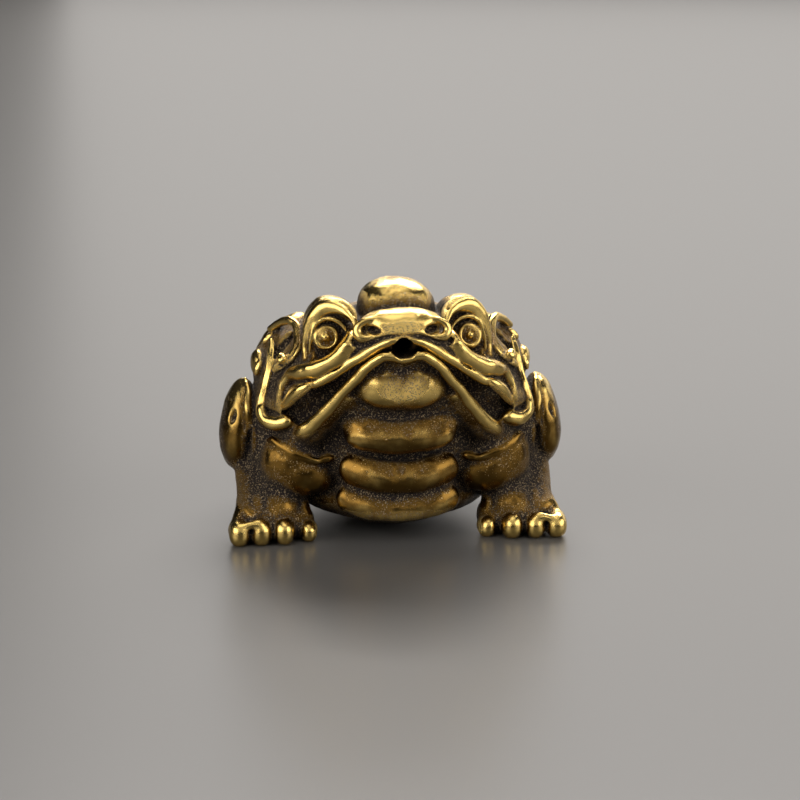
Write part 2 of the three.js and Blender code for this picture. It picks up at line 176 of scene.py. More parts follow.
def skin(x, z):
    """The foremost y of the wax at each x and z: along a column of the grid, from the front, where
    the wax first falls below nought, shared out between the four columns nearest. A column that
    misses the wax gives the y where it passes nearest."""
    across, up = (np.asarray(x, float) - LOW[0]) / PITCH, (np.asarray(z, float) - LOW[2]) / PITCH
    column, level = np.floor(across).astype(int), np.floor(up).astype(int)
    total = 0
    for i, k in np.ndindex(2, 2):
        near = wax[column + i, :, level + k]
        hit = near.min(1) < 0
        j = np.where(hit, np.argmax(near < 0, axis=1), np.argmin(near, axis=1))
        outer, inner = near[np.arange(len(j)), j - 1], near[np.arange(len(j)), j]
        back = np.where(hit, outer / np.where(hit, outer - inner, 1) - 1, 0)
        share = (1 - abs(across - column - i)) * (1 - abs(up - level - k))
        total = total + share * (LOW[1] + PITCH * (j + back))
    return total


def laid(stations):
    """Stations [x, z, proud, thickness] smoothed to a path and laid on the skin: the path's y is
    the skin's, evened out over the points beside it, less how proud it stands."""
    x, z, proud, thickness = smooth_path(stations).T
    y = np.pad(skin(x, z), EVENED // 2, mode="edge")
    y = np.convolve(y, np.full(EVENED, 1 / EVENED), "valid")
    return np.column_stack([x, y - proud, z, thickness])


def almond(x, z, long, tilt):
    """A wart like an almond, on the skin at x and z, its long axis turned down to +X by tilt
    degrees. It is nine tenths as deep as wide, and a pit two fifths as long nicks its upper side."""
    y = skin([x], [z])[0]
    pit = (x + ALMOND_WIDE * 0.5, y - ALMOND_WIDE, z + ALMOND_WIDE * 0.45)
    pit_radii = (long * 0.4, ALMOND_WIDE * 0.7, ALMOND_WIDE * 0.3)
    put(*lump((x, y, z), (long, ALMOND_WIDE * 0.9, ALMOND_WIDE), turn=(0, tilt, 0)), soft=0.08)
    take(*lump(pit, pit_radii, turn=(0, tilt, 0)), soft=0.05)


SHOULDER = dict(centre=(10.5, -2.9, 16.9), radii=(2.4, 3.6, 4.0), turn=(0, -33, 0))
SECOND_LEAF = dict(centre=(9.6, -3.2, 19.3), radii=(2.0, 2.2, 1.15), turn=(0, 33, 0))
LOBE = dict(centre=(12.6, -4.3, 15.9), radii=(1.05, 1.9, 1.6), turn=(0, 14, 0))
put(*lump(**SHOULDER), soft=0.5)
put(*lump(**SECOND_LEAF), soft=0.1)
put(*lump(**LOBE), soft=0.12)
FIELD = laid([[9.9, 19.4, 0.35, 1.4], [11.0, 18.3, 0.4, 1.8], [12.2, 17.0, 0.4, 1.5]])
take(*cord(FIELD, steps=1), soft=0.15)
tarnish_and_shade(*cord(FIELD, steps=1), fade=0.6)
OUTLINE = np.array([
    [11.5, -4.6, 19.5, 0.3],
    [10.7, -5.6, 20.2, 0.4],
    [9.95, -6.7, 20.65, 0.45],
    [9.45, -7.5, 20.6, 0.5],
    [9.15, -8.3, 20.1, 0.5],
    [9.05, -9.1, 19.35, 0.5],
    [9.25, -9.8, 18.6, 0.5],
    [9.6, -10.15, 18.0, 0.45],
    [10.15, -10.2, 17.4, 0.45],
    [10.7, -10.0, 16.95, 0.4],
    [11.3, -9.6, 16.5, 0.3],
])
OUTLINE_ROOT = OUTLINE + (0.2, 0.5, -0.1, 0.4)  # thicker, and set back into the skin
OUTLINE_KNOB = dict(centre=(10.85, -9.7, 17.6), radii=(0.55, 0.45, 0.4), turn=(0, -30, 0))
OUTLINE_NOTCH = dict(centre=(11.15, -10.2, 17.05), radii=(0.45, 0.7, 0.32), turn=(0, -30, 0))
put(*cord(OUTLINE_ROOT), soft=0.15)
put(*cord(OUTLINE), soft=0.08)
put(*lump(**OUTLINE_KNOB), soft=0.1)
take(*lump(**OUTLINE_NOTCH), soft=0.06)
ALMOND_WIDE = 0.36
ALMONDS = [
    dict(x=10.15, z=19.05, long=0.75, tilt=39),
    dict(x=11.9, z=18.6, long=0.8, tilt=40),
    dict(x=12.95, z=16.0, long=0.8, tilt=70),
    dict(x=10.85, z=17.5, long=0.5, tilt=20),
]
for wart in ALMONDS:
    almond(**wart)

# Breast. Low on each side hangs a pouch like a shield: flat and full, with a crisp rim at the top
# where the neck is sunk behind it, and a small corner towards the belly.
POUCH = dict(centre=(9.5, -7.9, 7.3), radii=(3.5, 3.7, 3.4), turn=(0, 8, 12), square=2.3)
POUCH_FOOT = dict(centre=(8.5, -8.6, 6.3), radii=(2.7, 3.0, 2.2), turn=(0, 0, 8), square=2.2)
POUCH_CORNER = dict(centre=(6.9, -10.9, 8.05), radii=(0.9, 0.8, 0.5), turn=(0, 12, 0))
NECK = [
    [14.2, -8.4, 13.2, 1.8],
    [13.1, -10.0, 11.9, 2.6],
    [12.1, -11.4, 11.5, 2.9],
    [10.7, -12.6, 10.85, 3.0],
    [9.3, -13.2, 10.3, 2.9],
    [7.9, -13.7, 9.9, 2.6],
    [6.5, -13.9, 9.9, 1.8],
]
POUCH_RIM = [
    [12.15, -9.25, 9.5, 0.5],
    [11.85, -9.8, 9.7, 0.65],
    [11.1, -10.55, 9.25, 0.7],
    [10.2, -11.1, 8.75, 0.7],
    [9.1, -11.4, 8.35, 0.7],
    [8.1, -11.55, 8.0, 0.65],
    [7.5, -11.5, 7.9, 0.5],
]
put(*lump(**POUCH), soft=0.15)
put(*lump(**POUCH_FOOT), soft=0.6)
take(*cord(NECK), soft=0.08)
tarnish_and_shade(*cord(NECK), fade=0.35)
put(*cord(POUCH_RIM), soft=0.5)
put(*lump(**POUCH_CORNER), soft=0.3)

# Mouth. Two lips run as cords from the middle down to the corners, with the gape sunk between
# them. The upper one breaks into a leaf at the corner and the lower one ends blunt. Flesh behind
# each lip carries it.
UPPER_LIP = np.array([
    [0, -16.5, 20.35, 0.55],
    [1.2, -16.3, 20.2, 0.8],
    [2.6, -15.8, 19.45, 0.95],
    [3.8, -15.3, 18.6, 0.95],
    [5.1, -14.75, 17.75, 0.95],
    [6.4, -14.15, 16.8, 0.95],
    [7.7, -13.5, 15.9, 0.85],
    [8.6, -13.1, 15.4, 0.5],
])
LOWER_LIP = np.array([
    [0, -16.65, 18.5, 0.6],
    [1.0, -16.65, 18.75, 0.7],
    [1.8, -16.55, 18.85, 0.8],
    [2.4, -16.35, 18.5, 0.85],
    [3.0, -16.1, 18.05, 0.85],
    [3.6, -15.8, 17.5, 0.9],
    [4.0, -15.55, 16.95, 0.95],
    [4.6, -15.2, 16.2, 0.9],
    [5.2, -14.75, 15.5, 0.95],
    [5.8, -14.35, 14.7, 1.0],
    [6.3, -14.0, 14.0, 1.1],
    [7.2, -13.3, 12.85, 1.25],
    [8.1, -12.5, 11.75, 1.45],
    [8.8, -11.9, 11.05, 1.6],
    [9.2, -11.5, 10.7, 1.5],
])
UPPER_FLESH = UPPER_LIP + (0, 1.35, 0.5, 1.9)
LOWER_FLESH = LOWER_LIP + (0, 1.4, -0.5, 1.4)
UPPER_ROOT = UPPER_LIP + (0, 0.35, 0, 0.1)
CHIN_GROOVE = LOWER_LIP[:8] + (0, 0.35, -1.2, 0.7)
MOUTH_END = 10.9
GAPE_DEPTH = 3.0
GAPE_BLOCK = ((0, -17.5, 10.5), (MOUTH_END, -4, 20.5))
GAPE_TOP = [*UPPER_LIP[:, [0, 2]], (9.8, 14.5), (MOUTH_END, 13.0)]
GAPE_BOTTOM = [*LOWER_LIP[:-1, [0, 2]], (MOUTH_END, 12.3)]
GAPE_FRONT = [*UPPER_LIP[:-1, :2], (8.6, -12.9), (9.5, -12.0), (10.3, -10.8), (MOUTH_END, -9.4)]
CORNER_LEAF = [
    [8.2, -13.5, 15.9, 0.4],
    [8.8, -13.4, 15.5, 0.85],
    [9.5, -12.9, 14.95, 1.1],
    [10.1, -12.2, 14.25, 1.05],
    [10.6, -11.4, 13.45, 0.75],
    [11.0, -10.5, 12.8, 0.4],
]
put(*cord(UPPER_FLESH), soft=0.8)
put(*cord(LOWER_FLESH), soft=0.8)
take(*cord(CHIN_GROOVE), soft=0.3)
part, x, y, z = window(*GAPE_BLOCK, 0)
top, bottom, front = (np.interp(x, *np.array(line).T) for line in (GAPE_TOP, GAPE_BOTTOM, GAPE_FRONT))
depth = GAPE_DEPTH * (1 - np.clip(x / MOUTH_END, 0, 1) ** 4)  # it runs out towards the corner
gape = np.maximum(np.maximum(z - top, bottom - z), y - front - depth).astype(np.float32)
take(part, gape, soft=0.3)
tarnish_and_shade(part, gape, fade=0.4)
put(*cord(UPPER_ROOT), soft=0.15)
put(*cord(UPPER_LIP), soft=0.1)
put(*cord(CORNER_LEAF), soft=0.1)
put(*cord(LOWER_LIP), soft=0.12)

# Cheeks. A knobbly band runs from the nose, under the eye, to the corner of the mouth, with a
# groove between it and the lip. Outside it a thin whisker ridge comes down the jaw, thickens and
# hooks forward under the corner. The band itself is put on after the eyes, over their mounds.
BAND = laid([
    [4.35, 20.7, 0.0, 0.5],
    [4.65, 20.1, 0.05, 1.1],
    [5.2, 19.2, 0.1, 1.35],
    [5.9, 18.4, 0.1, 1.35],
    [6.8, 17.75, 0.1, 1.3],
    [7.9, 17.1, 0.1, 1.45],
    [8.75, 16.85, 0.1, 1.35],
    [9.6, 16.5, 0.1, 1.2],
    [10.3, 15.85, 0.1, 1.0],
    [10.8, 15.1, 0.08, 0.8],
    [11.15, 14.3, 0.05, 0.6],
    [11.35, 13.4, 0.0, 0.4],
])
BAND_GROOVE = laid([
    [3.7, 19.65, 0.0, 0.4],
    [4.4, 19.1, 0.0, 0.45],
    [5.3, 18.35, 0.0, 0.45],
    [6.5, 17.35, 0.0, 0.45],
    [7.35, 16.8, 0.0, 0.45],
    [8.3, 16.3, 0.0, 0.5],
    [9.2, 16.0, 0.0, 0.5],
    [10.0, 15.55, 0.0, 0.45],
    [10.6, 14.8, 0.0, 0.4],
    [11.0, 13.9, 0.0, 0.3],
])
WHISKER = np.array([
    [11.6, -6.6, 18.6, 0.3],
    [11.7, -7.4, 17.85, 0.4],
    [11.85, -8.1, 17.0, 0.45],
    [12.1, -8.7, 15.9, 0.42],
    [12.45, -9.0, 14.7, 0.42],
    [12.75, -9.1, 13.5, 0.5],
    [12.85, -9.4, 12.55, 0.7],
    [12.65, -9.8, 11.85, 0.9],
    [12.1, -10.3, 11.5, 1.1],
    [11.45, -10.8, 11.45, 1.2],
    [10.85, -11.1, 11.6, 1.25],
    [10.6, -11.2, 11.7, 1.25],
])
WHISKER_ROOT = WHISKER + (0.12, 0.45, 0, 0.15)
WHISKER_HOOK = WHISKER[6:] + (0, 0.1, 0, 0)
WHISKER_EDGE = WHISKER[:9] * (1, 1, 1, 0.55) + (-0.12, 0.1, 0, 0.05)
take(*cord(BAND_GROOVE, steps=1), soft=0.1)
put(*cord(WHISKER_ROOT), soft=0.4)
put(*cord(WHISKER_HOOK), soft=0.3)
put(*cord(WHISKER_EDGE), soft=0.15)
JAW = laid([
    [10.2, 17.0, 0, 1.0],
    [11.0, 16.2, 0, 1.4],
    [11.6, 14.8, 0, 1.3],
    [11.8, 13.2, 0, 1.2],
    [11.3, 12.1, 0, 1.2],
])
tarnish_and_shade(*cord(JAW, steps=1), fade=0.5)


def rub(part, form, fade):
    """Rubs the brass clean inside a form, and less and less out to a distance of fade."""
    soot_and_shade[part] = np.minimum(soot_and_shade[part], np.clip(form / fade, 0, 1))


for raised in (UPPER_LIP, LOWER_LIP, WHISKER):
    rub(*cord(raised + (0, 0, 0, 0.1)), fade=0.2)

# Eyes. Each is a disc with a raised rim and a pupil, in a socket sunk into a mound, under a thin
# lid. A heavy brow swells over it towards the crown and comes down thinner on the outside. The
# cheek's band and its two knobs lie over the foot of the mound.
EYE_MOUND = dict(centre=(6.3, -8.6, 20.2), radii=(2.6, 3.1, 3.1), turn=(0, -10, 0), square=2.2)
SOCKET = dict(centre=(6.55, -13.3, 19.75), radii=(2.2, 2.9, 2.8), turn=(0, -12, 0), square=2.3)
BROW = [
    [4.4, -13.8, 20.8, 0.4],
    [4.4, -12.8, 21.5, 1.0],
    [4.8, -11.8, 22.15, 1.5],
    [5.6, -11.1, 22.55, 1.75],
    [6.5, -10.7, 22.6, 1.7],
    [7.35, -10.5, 22.2, 1.4],
    [8.0, -10.4, 21.5, 1.05],
    [8.45, -10.3, 20.6, 0.75],
    [8.7, -10.4, 19.6, 0.55],
    [8.75, -10.5, 18.6, 0.5],
    [8.7, -10.9, 17.8, 0.4],
]
CREASE = np.array([
    [7.18, -10.6, 23.25, 0.1],
    [6.55, -11.1, 23.45, 0.25],
    [5.5, -11.5, 23.15, 0.28],
    [4.75, -12.0, 22.6, 0.28],
    [4.3, -12.6, 21.6, 0.2],
])
put(*lump(**EYE_MOUND), soft=0.3)
put(*cord(BROW), soft=0.6)
take(*lump(**SOCKET), soft=0.03)
take(*cord(CREASE + (0, -0.15, 0.1, 0)), soft=0.25)
tarnish_and_shade(*cord(CREASE), fade=0.3, most=0.6)


def ring(centre, normal, radius, thickness):
    """A ring round a normal: the distance to its circle, less half its thickness."""
    normal = np.asarray(normal, float) / np.linalg.norm(normal)
    side = np.cross([0, 0, 1], normal)
    side /= np.linalg.norm(side)
    spread = np.full(3, radius + thickness / 2)
    part, x, y, z = window(np.asarray(centre) - spread, np.asarray(centre) + spread, CORD_REACH)
    x, y, z = x - centre[0], y - centre[1], z - centre[2]
    across, over, out = (v[0] * x + v[1] * y + v[2] * z for v in (side, np.cross(normal, side), normal))
    around = np.sqrt(across**2 + over**2)
    return part, (np.sqrt((around - radius) ** 2 + out**2) - thickness / 2).astype(np.float32)


EYE = np.array([6.64, -10.62, 19.57])
LOOK = np.array([0.2, -0.95, 0.24])  # the way that it looks, about 1 mm long
EYEBALL = dict(centre=EYE, radii=(1.5, 0.9, 1.55))
EYE_RIM = dict(centre=EYE + 0.75 * LOOK, normal=LOOK, radius=0.98, thickness=0.42)
IRIS = dict(centre=EYE + 1.25 * LOOK, radii=(0.74, 0.52, 0.72))
PUPIL = dict(centre=EYE + 0.78 * LOOK, radii=(0.42, 0.42, 0.42))
LID = np.array([
    [8.3, -11.0, 18.1, 0.26],
    [8.3, -11.0, 19.0, 0.3],
    [8.15, -11.0, 19.9, 0.32],
    [7.85, -11.0, 20.75, 0.36],
    [7.3, -11.1, 21.3, 0.4],
    [6.6, -11.2, 21.55, 0.42],
    [5.85, -11.4, 21.4, 0.42],
    [5.25, -11.6, 20.9, 0.36],
    [4.95, -11.8, 20.4, 0.26],
])
put(*lump(**EYEBALL), soft=0.3)
put(*ring(**EYE_RIM), soft=0.1)
take(*lump(**IRIS), soft=0.06)
put(*lump(**PUPIL), soft=0.05)
put(*cord(LID + (0, 0.5, 0, 0.1)), soft=0.05)
put(*cord(LID), soft=0.06)
BAND_FLAT = 0.55  # the band's depth over its width
UPPER_KNOB = dict(centre=(5.05, BAND[2 * STEPS, 1] - 0.1, 19.6), radii=(0.6, 0.35, 0.5))
LOWER_KNOB = dict(centre=(8.4, BAND[11 * STEPS // 2, 1] - 0.1, 17.2), radii=(0.65, 0.3, 0.45))
put(*cord(BAND + (0, 0.5, 0, 0.2), steps=1), soft=0.15)
put(*cord(BAND, BAND_FLAT, steps=1), soft=0.2)
put(*lump(**UPPER_KNOB), soft=0.2)
put(*lump(**LOWER_KNOB), soft=0.2)

# Crown and nose. A smooth pebble of a crown stands between the brows. The nose is a roll whose
# ends curl round two nostrils, and under it a round hole, wide enough for an incense stick, runs
# back through the lips.
CROWN = dict(centre=(0, -8.6, 21.75), radii=(3.72, 3.75, 3.23), square=2.4)
CROWN_FOOT = dict(centre=(0, -12.2, 22.7), radii=(3.0, 1.6, 0.6))
BROW_GAP = dict(centre=(3.9, -10.6, 22.6), radii=(0.7, 2.4, 1.4))
NOSE_CORNER = dict(centre=(3.4, -13.2, 22.6), radii=(1.2, 1.6, 0.5))
NOSE = dict(centre=(0, -13.2, 20.75), radii=(4.0, 2.9, 1.85), square=2.1)
NOSE_ROLL = dict(centre=(0, -14.0, 21.55), radii=(3.9, 1.95, 1.4))
NOSE_FRONT = dict(centre=(0, -16.0, 21.3), radii=(1.7, 1.0, 0.3))
NOSTRIL = dict(centre=(2.8, -15.9, 21.15), radii=(0.8, 1.2, 0.42), turn=(0, -8, 0))
NOSTRIL_CURL = [
    [1.6, -15.0, 22.0, 0.4],
    [2.6, -15.0, 22.05, 0.5],
    [3.4, -15.0, 21.9, 0.6],
    [4.0, -15.0, 21.5, 0.75],
    [4.2, -15.05, 20.95, 0.9],
    [4.0, -15.25, 20.5, 0.95],
    [3.5, -15.45, 20.35, 0.7],
    [3.0, -15.6, 20.4, 0.4],
]
UNDER_NOSE = [
    [0, -16.4, 20.65, 0.4],
    [1.2, -16.3, 20.65, 0.4],
    [2.3, -15.95, 20.35, 0.45],
    [3.2, -15.7, 19.9, 0.6],
    [4.1, -15.3, 19.7, 0.5],
    [4.6, -14.9, 20.0, 0.4],
]
put(*lump(**CROWN), soft=0.12)
tarnish_and_shade(*lump(**CROWN_FOOT), fade=0.7, most=0.25)
tarnish_and_shade(*lump(**BROW_GAP), fade=0.6)
tarnish_and_shade(*lump(**NOSE_CORNER), fade=0.5, most=0.7)
put(*lump(**NOSE), soft=0.2)
put(*lump(**NOSE_ROLL), soft=0.3)
put(*cord(NOSTRIL_CURL), soft=0.12)
take(*lump(**NOSTRIL), soft=0.12)
tarnish_and_shade(*lump(**NOSE_FRONT), fade=0.6, most=0.5)
take(*cord(UNDER_NOSE), soft=0.1)
tarnish_and_shade(*cord(UNDER_NOSE), fade=0.3)
MOUTH_BORE = 1.9
BORE_HEIGHT = 19.5
BORE_END = -8
BORE_BLOCK = ((0, -18, 18), (2, BORE_END, 21))
BORE_LIP = [
    [0, -16.75, 18.45, 0.5],
    [0.6, -16.8, 18.55, 0.5],
    [1.05, -16.8, 18.85, 0.45],
    [1.3, -16.65, 19.2, 0.35],
]
part, x, y, z = window(*BORE_BLOCK, CORD_REACH)
bore = np.maximum(np.sqrt(x**2 + (z - BORE_HEIGHT) ** 2) - MOUTH_BORE / 2, y - BORE_END)
take(part, bore.astype(np.float32), soft=0.1)
put(*cord(BORE_LIP), soft=0.1)

# Front. A chin pad and three folds lie one under the other, like rolls of fat. Each fold bows
# round the front, and its ends rise and swell a little. A pad fills out the top fold, and sand
# stays on the chin's middle and on top of each fold.
CHIN = dict(centre=(0, -13.0, 15.5), radii=(4.35, 3.25, 2.4), square=2.4)
CHIN_SAND = dict(centre=(0, -15.7, 15.8), radii=(1.8, 1.5, 1.1))
put(*lump(**CHIN), soft=0.25)
tarnish_and_shade(*lump(**CHIN_SAND), fade=0.8, most=0.5)
FOLDS = [
    dict(height=10.65, front=-15.2, reach=3.9, rise=1.0, back=1.5, thick=3.0),
    dict(height=6.6, front=-14.6, reach=4.1, rise=0.5, back=1.6, thick=3.1),
    dict(height=3.5, front=-13.7, reach=4.5, rise=0.45, back=1.7, thick=2.7),
]
FOLD_FLAT = 0.75  # a fold's bulge forward over its own half height
FOLD_STATIONS = 6
FOLD_SWELL = 0.05  # how much thicker its end is than its middle
share = np.linspace(0, 1, FOLD_STATIONS)
for fold in FOLDS:
    x = share * fold["reach"]
    y = fold["front"] + FOLD_FLAT * fold["thick"] / 2 + fold["back"] * share**2.5
    z = fold["height"] + fold["rise"] * share**2
    thick = fold["thick"] * (1 + FOLD_SWELL * share**2)
    put(*cord(np.column_stack([x, y, z, thick]), FOLD_FLAT), soft=0.35)
TOP_PAD = dict(centre=(0, -12.75, 10.6), radii=(5.2, 2.5, 1.8), square=2.2)
put(*lump(**TOP_PAD), soft=0.35)
FOLD_SAND = (3.2, 1.2, 0.5)
FOLD_SAND_UP = 0.9
for fold in FOLDS:
    sand_place = (0, fold["front"], fold["height"] + FOLD_SAND_UP)
    tarnish_and_shade(*lump(sand_place, FOLD_SAND), fade=0.9, most=0.3)
FOLD_NOTCH = dict(centre=(0.1, -14.9, 8.0), radii=(0.3, 0.9, 0.8))
take(*lump(**FOLD_NOTCH), soft=0.3)

# Arms. The upper arm is an upright pillow against the flank, with a bright swelling down its front,
# a long pit outside that, and a slot and a strand low on its inner edge.
UPPER_ARM = dict(centre=(14.9, -4.3, 10.2), radii=(1.8, 3.2, 4.5), turn=(0, -8, 0), square=1.9)
ARM_FOOT = dict(centre=(15.0, -4.3, 9.4), radii=(1.75, 3.25, 3.1), turn=(0, -4, 0), square=2.1)
ELBOW = dict(centre=(16.1, -4.4, 8.6), radii=(0.55, 1.9, 1.4), turn=(0, 8, 0))
put(*lump(**UPPER_ARM), soft=0.12)
put(*lump(**ARM_FOOT), soft=0.3)
put(*lump(**ELBOW), soft=0.1)
ARM_SWELLING = laid([
    [14.2, 14.6, 0.0, 0.4],
    [14.0, 13.7, 0.15, 0.6],
    [14.1, 12.6, 0.2, 0.8],
    [14.0, 11.6, 0.3, 0.9],
    [13.95, 10.6, 0.25, 0.85],
    [14.25, 9.8, 0.05, 0.6],
])
put(*cord(ARM_SWELLING, steps=1), soft=0.2)
ARM_PIT = dict(centre=(15.7, skin([15.6], [11.6])[0] - 0.15, 11.7), radii=(0.5, 0.34, 0.95), turn=(0, 6, 0))
take(*lump(**ARM_PIT), soft=0.15)
ARM_SLOT = laid([
    [14.1, 10.2, 0.0, 0.25],
    [14.0, 9.4, 0.0, 0.5],
    [13.95, 8.6, 0.0, 0.5],
    [13.95, 7.7, 0.0, 0.25],
])
ARM_STRAND = [
    [13.5, -7.6, 10.6, 0.4],
    [13.45, -7.9, 9.6, 0.65],
    [13.4, -7.9, 8.8, 0.65],
    [13.5, -7.6, 8.0, 0.45],
]
take(*cord(ARM_SLOT, steps=1), soft=0.06)
put(*cord(ARM_STRAND), soft=0.15)
ARM_DENT = dict(centre=(14.9, skin([14.9], [6.7])[0], 6.7), radii=(0.4, 0.5, 0.3))
take(*lump(**ARM_DENT), soft=0.1)

# Forearms and hands. The broad forearm comes forward and down to a fat palm. Its four short
# fingers lie side by side: each starts at a knuckle and ends in a round tip, cut flat by the
# floor. A web joins the outer two over a pit.
FOREARM = [
    [14.2, -3.9, 8.0, 2.6],
    [14.0, -6.0, 5.6, 2.8],
    [13.9, -8.2, 3.8, 2.8],
    [14.0, -10.2, 2.4, 2.5],
]
INNER_FOREARM = [
    [12.0, -4.6, 6.8, 3.4],
    [11.7, -7.2, 4.6, 4.2],
    [11.4, -9.4, 2.7, 4.4],
]
PALM = dict(centre=(12.1, -8.6, 1.6), radii=(3.6, 3.4, 1.9), square=2.3)
THUMB_BALL = dict(centre=(9.4, -9.0, 1.5), radii=(1.5, 2.2, 1.7))
FINGERS = [
    dict(knuckle=(14.6, -9.0, 3.1), swell=1.7, tip=(15.2, -11.7), radius=1.05),
    dict(knuckle=(13.3, -9.8, 3.6), swell=1.7, tip=(13.15, -11.6), radius=1.05),
    dict(knuckle=(11.0, -9.9, 3.6), swell=1.9, tip=(10.95, -11.6), radius=1.05),
    dict(knuckle=(9.2, -9.2, 3.1), swell=1.7, tip=(8.6, -10.9), radius=0.85),
]
TIP_LONG, TIP_TALL = 1.5, 1.25  # over the tip's radius
SOLE_INSET = 0.14  # how much of a tip the floor cuts off
WEB = [
    [15.4, -12.4, 1.6, 1.0],
    [14.7, -12.5, 1.85, 0.9],
    [14.1, -12.5, 2.05, 0.8],
    [13.4, -12.4, 2.1, 1.0],
]
WEB_PIT = dict(centre=(14.1, -12.9, 1.45), radii=(0.3, 0.9, 0.33))
put(*cord(FOREARM), soft=0.6)
put(*cord(INNER_FOREARM), soft=0.8)
put(*lump(**PALM), soft=0.6)
for finger in FINGERS:
    knuckle, tip, radius = np.array(finger["knuckle"]), np.array(finger["tip"]), finger["radius"]
    height = TIP_TALL * radius - SOLE_INSET
    root = [knuckle[0], knuckle[1] + 2.2, knuckle[2] + 0.3, finger["swell"] * 0.8]
    middle = [*(knuckle[:2] * 0.5 + tip * 0.5), height + 0.9, 1.8 * radius]
    end = [tip[0], tip[1] + radius * 0.5, height + 0.2, 1.95 * radius]
    put(*cord([root, [*knuckle, finger["swell"]], middle, end]), soft=0.12)
    put(*lump((*tip, height), (radius, radius * TIP_LONG, radius * TIP_TALL), square=2.2), soft=0.3)
put(*cord(WEB), soft=0.3)
take(*lump(**WEB_PIT), soft=0.06)
put(*lump(**THUMB_BALL), soft=0.5)
# Blackened patches: patina between arm and pouch, on the forearm and at the neck's inner end, and painted
# shade under the belly.
SHADES = [
    dict(centre=(13.1, -6.2, 7.6), radii=(1.2, 3.2, 3.4), fade=0.8),  # between arm and pouch
    dict(centre=(12.0, -7.2, 5.0), radii=(2.9, 3.6, 2.3), fade=1.2),  # over the palm
    dict(centre=(13.4, -8.2, 4.4), radii=(1.6, 2.6, 1.7), fade=1.0),  # over the outer knuckles
    dict(centre=(0, -8.0, 0.6), radii=(8.4, 9.0, 2.4), fade=1.2),  # painted shade under the belly
    dict(centre=(7.2, -11.4, 10.0), radii=(2.2, 1.6, 1.1), fade=0.8),  # at the neck's inner end
]
for shade in SHADES:
    tarnish_and_shade(*lump(shade["centre"], shade["radii"]), fade=shade["fade"])

# Hind leg. A money toad has one, in the middle: a thick thigh under the tail end, and a foot with
# three toes that point backwards, flat on the floor.
THIGH = dict(centre=(0, 10.2, 5.6), radii=(4.4, 4.8, 4.2))
FOOT = dict(centre=(0, 12.2, 1.8), radii=(3.0, 3.2, 2.1))
TOE_SPREAD = 2.9
TOE = 0.95
put(*lump(**THIGH), soft=0.4)
put(*lump(**FOOT), soft=0.3)
for spread in (0, TOE_SPREAD):
    toe = [
        [spread * 0.45, 12.2, 1.5, 1.8],
        [spread * 0.8, 14.4, 1.4, 1.7],
        [spread, 15.7, TOE - SOLE_INSET, 2 * TOE],
    ]
    put(*cord(toe), soft=0.15)

# Back. Ringed warts stand in two rows round the back, each a mound with a dish in it, a ring in
# the dish and a pip in the ring. A row of knobs, smaller and smaller, runs down the spine.
ROWS = [
    dict(latitude=56, longitudes=(24, 62), radius=1.15),
    dict(latitude=30, longitudes=(18, 54), radius=1.3),
]
MOUND, DISH, RING, RING_THICK, PIP, RISE = 0.95, 0.75, 0.78, 0.42, 0.28, 0.35  # over the radius
KNOBS = 6
KNOB_TOP, KNOB_APART = 84, 12  # degrees of latitude
KNOB_SIZE, KNOB_LESS = 1.25, 0.06


def on_trunk(longitude, latitude):
    """The point of the trunk, and its outward direction there, at a longitude, 0 towards +X and 90
    towards the tail, and a latitude: the unit sphere's point times the trunk's radii, turned with
    it, and that point over the radii, turned alike and made 1 long."""
    east, north = np.radians([longitude, latitude])
    unit = np.array([np.cos(north) * np.cos(east), np.cos(north) * np.sin(east), np.sin(north)])
    matrix = turning(TRUNK["turn"])
    normal = matrix @ (unit / TRUNK["radii"])
    return matrix @ (unit * TRUNK["radii"]) + TRUNK["centre"], normal / np.linalg.norm(normal)


for row in ROWS:
    for longitude in row["longitudes"]:
        point, normal = on_trunk(longitude, row["latitude"])
        radius = row["radius"]
        raised = point + normal * radius * RISE
        put(*lump(point, (radius * MOUND,) * 3), soft=0.2)
        take(*lump(point + normal * radius, (radius * DISH,) * 3), soft=0.1)
        put(*ring(raised, normal, radius * RING, radius * RING_THICK), soft=0.1)
        put(*lump(raised, (radius * PIP,) * 3), soft=0.08)
for i in range(KNOBS):
    latitude = KNOB_TOP - KNOB_APART * i
    size = KNOB_SIZE - KNOB_LESS * i
    point, normal = on_trunk(90, latitude)
    lean = latitude - 90 + TRUNK["turn"][0]
    put(*lump(point, (size, size * 0.95, size * 0.7), turn=(lean, 0, 0)), soft=0.12)

# Cast skin. The wax is mirrored, roughened by a seeded noise, levelled at the floor and turned
# into a mesh, which is thinned to the faces that its shape needs.
COARSE_GRAIN = dict(height=0.035, cells=6)
FINE_GRAIN = dict(height=0.012, cells=2)
FACES = 190000
wax, soot_and_shade = (np.concatenate([half[:0:-1], half]) for half in (wax, soot_and_shade))
low = np.array([-HIGH[0], LOW[1], LOW[2]])
rng = np.random.default_rng(7)


def soften(field, rounds):
    """Each value becomes half itself and a quarter of each neighbour, along each axis in turn."""
    for _ in range(rounds):
        for axis in range(3):
            padded = np.pad(field, [(1, 1) if i == axis else (0, 0) for i in range(3)], mode="edge")
            before, after = (np.take(padded, range(k, k + field.shape[axis]), axis) for k in (0, 2))
            field = 0.5 * field + 0.25 * (before + after)
    return field


def grain(height, cells):
    """Even noise with a standard deviation of height, random at points that many cells apart,
    softened once and drawn out to the whole grid."""
    shape = [n // cells + 2 for n in wax.shape]
    field = soften(rng.standard_normal(shape, dtype=np.float32), 1)
    field /= field.std()
    for axis in range(3):
        place = np.arange(wax.shape[axis], dtype=np.float32) / cells
        first = place.astype(int)
        share = (place - first).reshape([-1 if i == axis else 1 for i in range(3)])
        field = np.take(field, first, axis) * (1 - share) + np.take(field, first + 1, axis) * share
    return height * field


